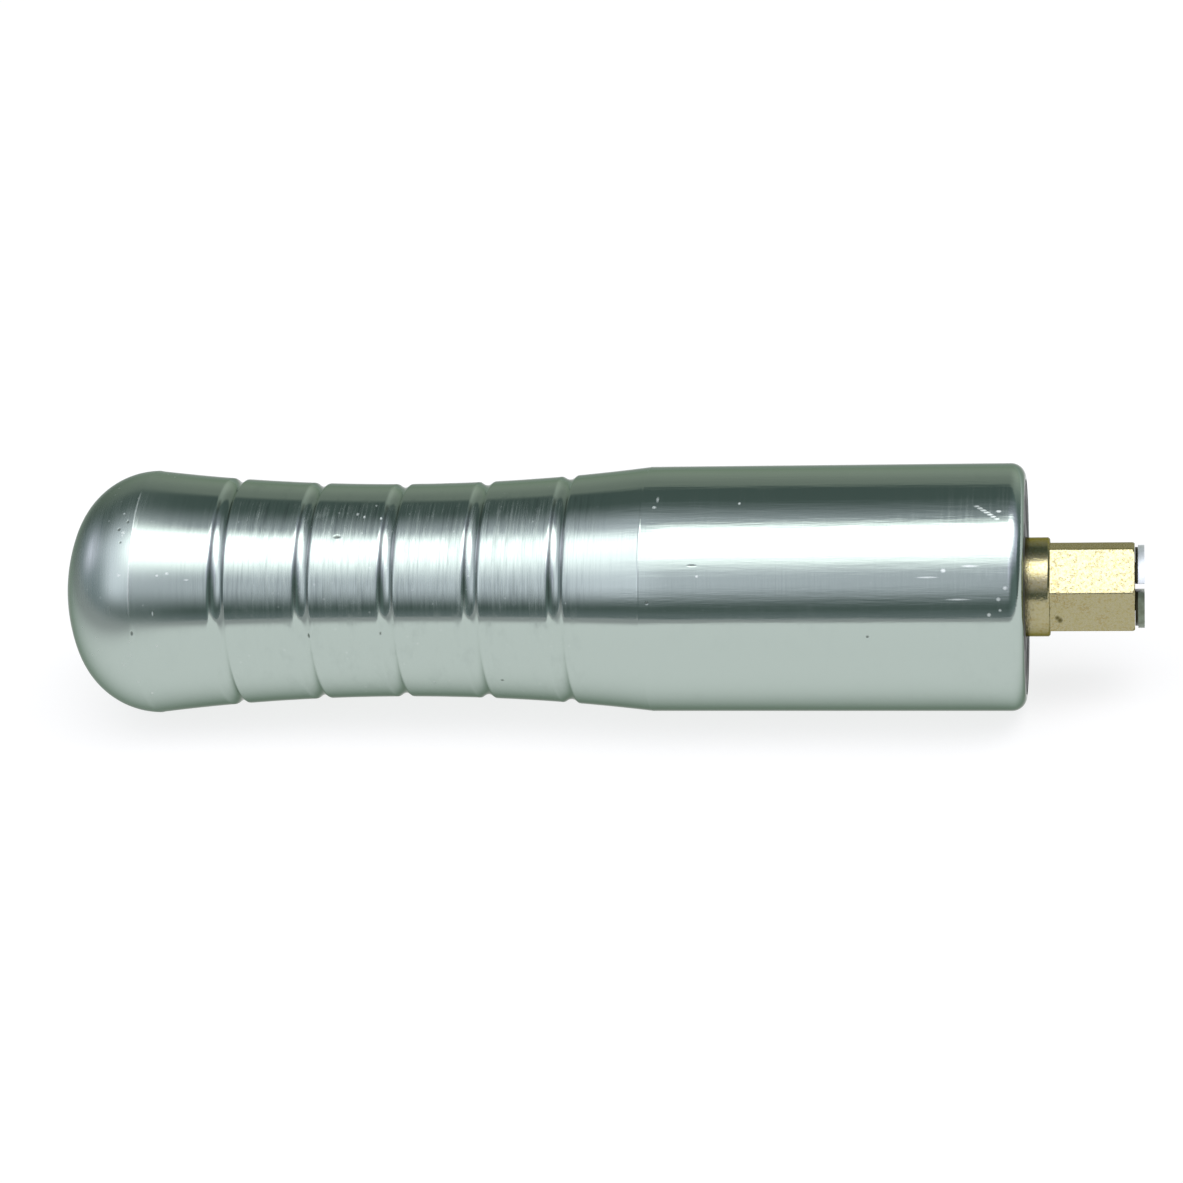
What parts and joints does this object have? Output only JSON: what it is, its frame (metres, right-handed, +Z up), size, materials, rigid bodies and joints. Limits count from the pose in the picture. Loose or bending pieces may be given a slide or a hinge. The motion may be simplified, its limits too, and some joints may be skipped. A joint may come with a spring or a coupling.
{
  "type": "winch handle grip",
  "caption": "Revolving grip of a winch handle: domed aluminium sleeve with finger grooves, turning on ball bearings round a brass spindle that ends in a collar, a hexagon and a slotted screw.",
  "frame": {"origin": "on the axis of revolution, in the plane of the spindle collar's outer shoulder, where the crank arm seats", "axes": "+X along the axis, out through the hexagon into the crank arm, so that the grip lies towards -X; +Z up; the grip lies level, as in the picture"},
  "size_m": [0.1332, 0.0304, 0.0304],
  "materials": {
    "polished_aluminium": "polished, with fine turning marks round the axis",
    "spindle_brass": "machined and lightly polished, with small nicks",
    "screw_steel": "turned, satin",
    "spring_steel": "blackened spring steel",
    "bearing_steel": "ground and polished",
    "black_seal": "moulded, matt",
    "cage_plastic": "moulded polyamide"
  },
  "bodies": {
    "spindle": {"spindle": "spindle_brass", "end_screw": "screw_steel", "journal_retaining_ring": "spring_steel", "tip_retaining_ring": "spring_steel", "mouth_bearing_inner_ring": "bearing_steel", "tip_bearing_inner_ring": "bearing_steel"},
    "grip": {"grip_body": "polished_aluminium", "dust_cover": "black_seal", "mouth_retaining_ring": "spring_steel", "wave_washer": "spring_steel", "mouth_bearing_outer_ring": "bearing_steel", "tip_bearing_outer_ring": "bearing_steel", "mouth_bearing_arm_side_seal": "black_seal", "mouth_bearing_tip_side_seal": "black_seal", "tip_bearing_arm_side_seal": "black_seal", "tip_bearing_tip_side_seal": "black_seal"},
    "mouth_ball_set": {"mouth_bearing_cage": "cage_plastic", "mouth_bearing_ball_1": "bearing_steel", "mouth_bearing_ball_2": "bearing_steel", "mouth_bearing_ball_3": "bearing_steel", "mouth_bearing_ball_4": "bearing_steel", "mouth_bearing_ball_5": "bearing_steel", "mouth_bearing_ball_6": "bearing_steel", "mouth_bearing_ball_7": "bearing_steel"},
    "tip_ball_set": {"tip_bearing_cage": "cage_plastic", "tip_bearing_ball_1": "bearing_steel", "tip_bearing_ball_2": "bearing_steel", "tip_bearing_ball_3": "bearing_steel", "tip_bearing_ball_4": "bearing_steel", "tip_bearing_ball_5": "bearing_steel", "tip_bearing_ball_6": "bearing_steel", "tip_bearing_ball_7": "bearing_steel", "tip_bearing_ball_8": "bearing_steel"}
  },
  "joints": [
    {"name": "grip_spin", "type": "hinge", "parent": "spindle", "child": "grip", "pos_m": [0, 0, 0], "axis": [1, 0, 0], "continuous": true},
    {"name": "mouth_ball_orbit", "type": "hinge", "parent": "spindle", "child": "mouth_ball_set", "pos_m": [0, 0, 0], "axis": [1, 0, 0], "continuous": true},
    {"name": "tip_ball_orbit", "type": "hinge", "parent": "spindle", "child": "tip_ball_set", "pos_m": [0, 0, 0], "axis": [1, 0, 0], "continuous": true}
  ],
  "couplings": [
    {"joint": "mouth_ball_orbit", "follows": "grip_spin", "ratio": 0.63229},
    {"joint": "tip_ball_orbit", "follows": "grip_spin", "ratio": 0.61759}
  ]
}
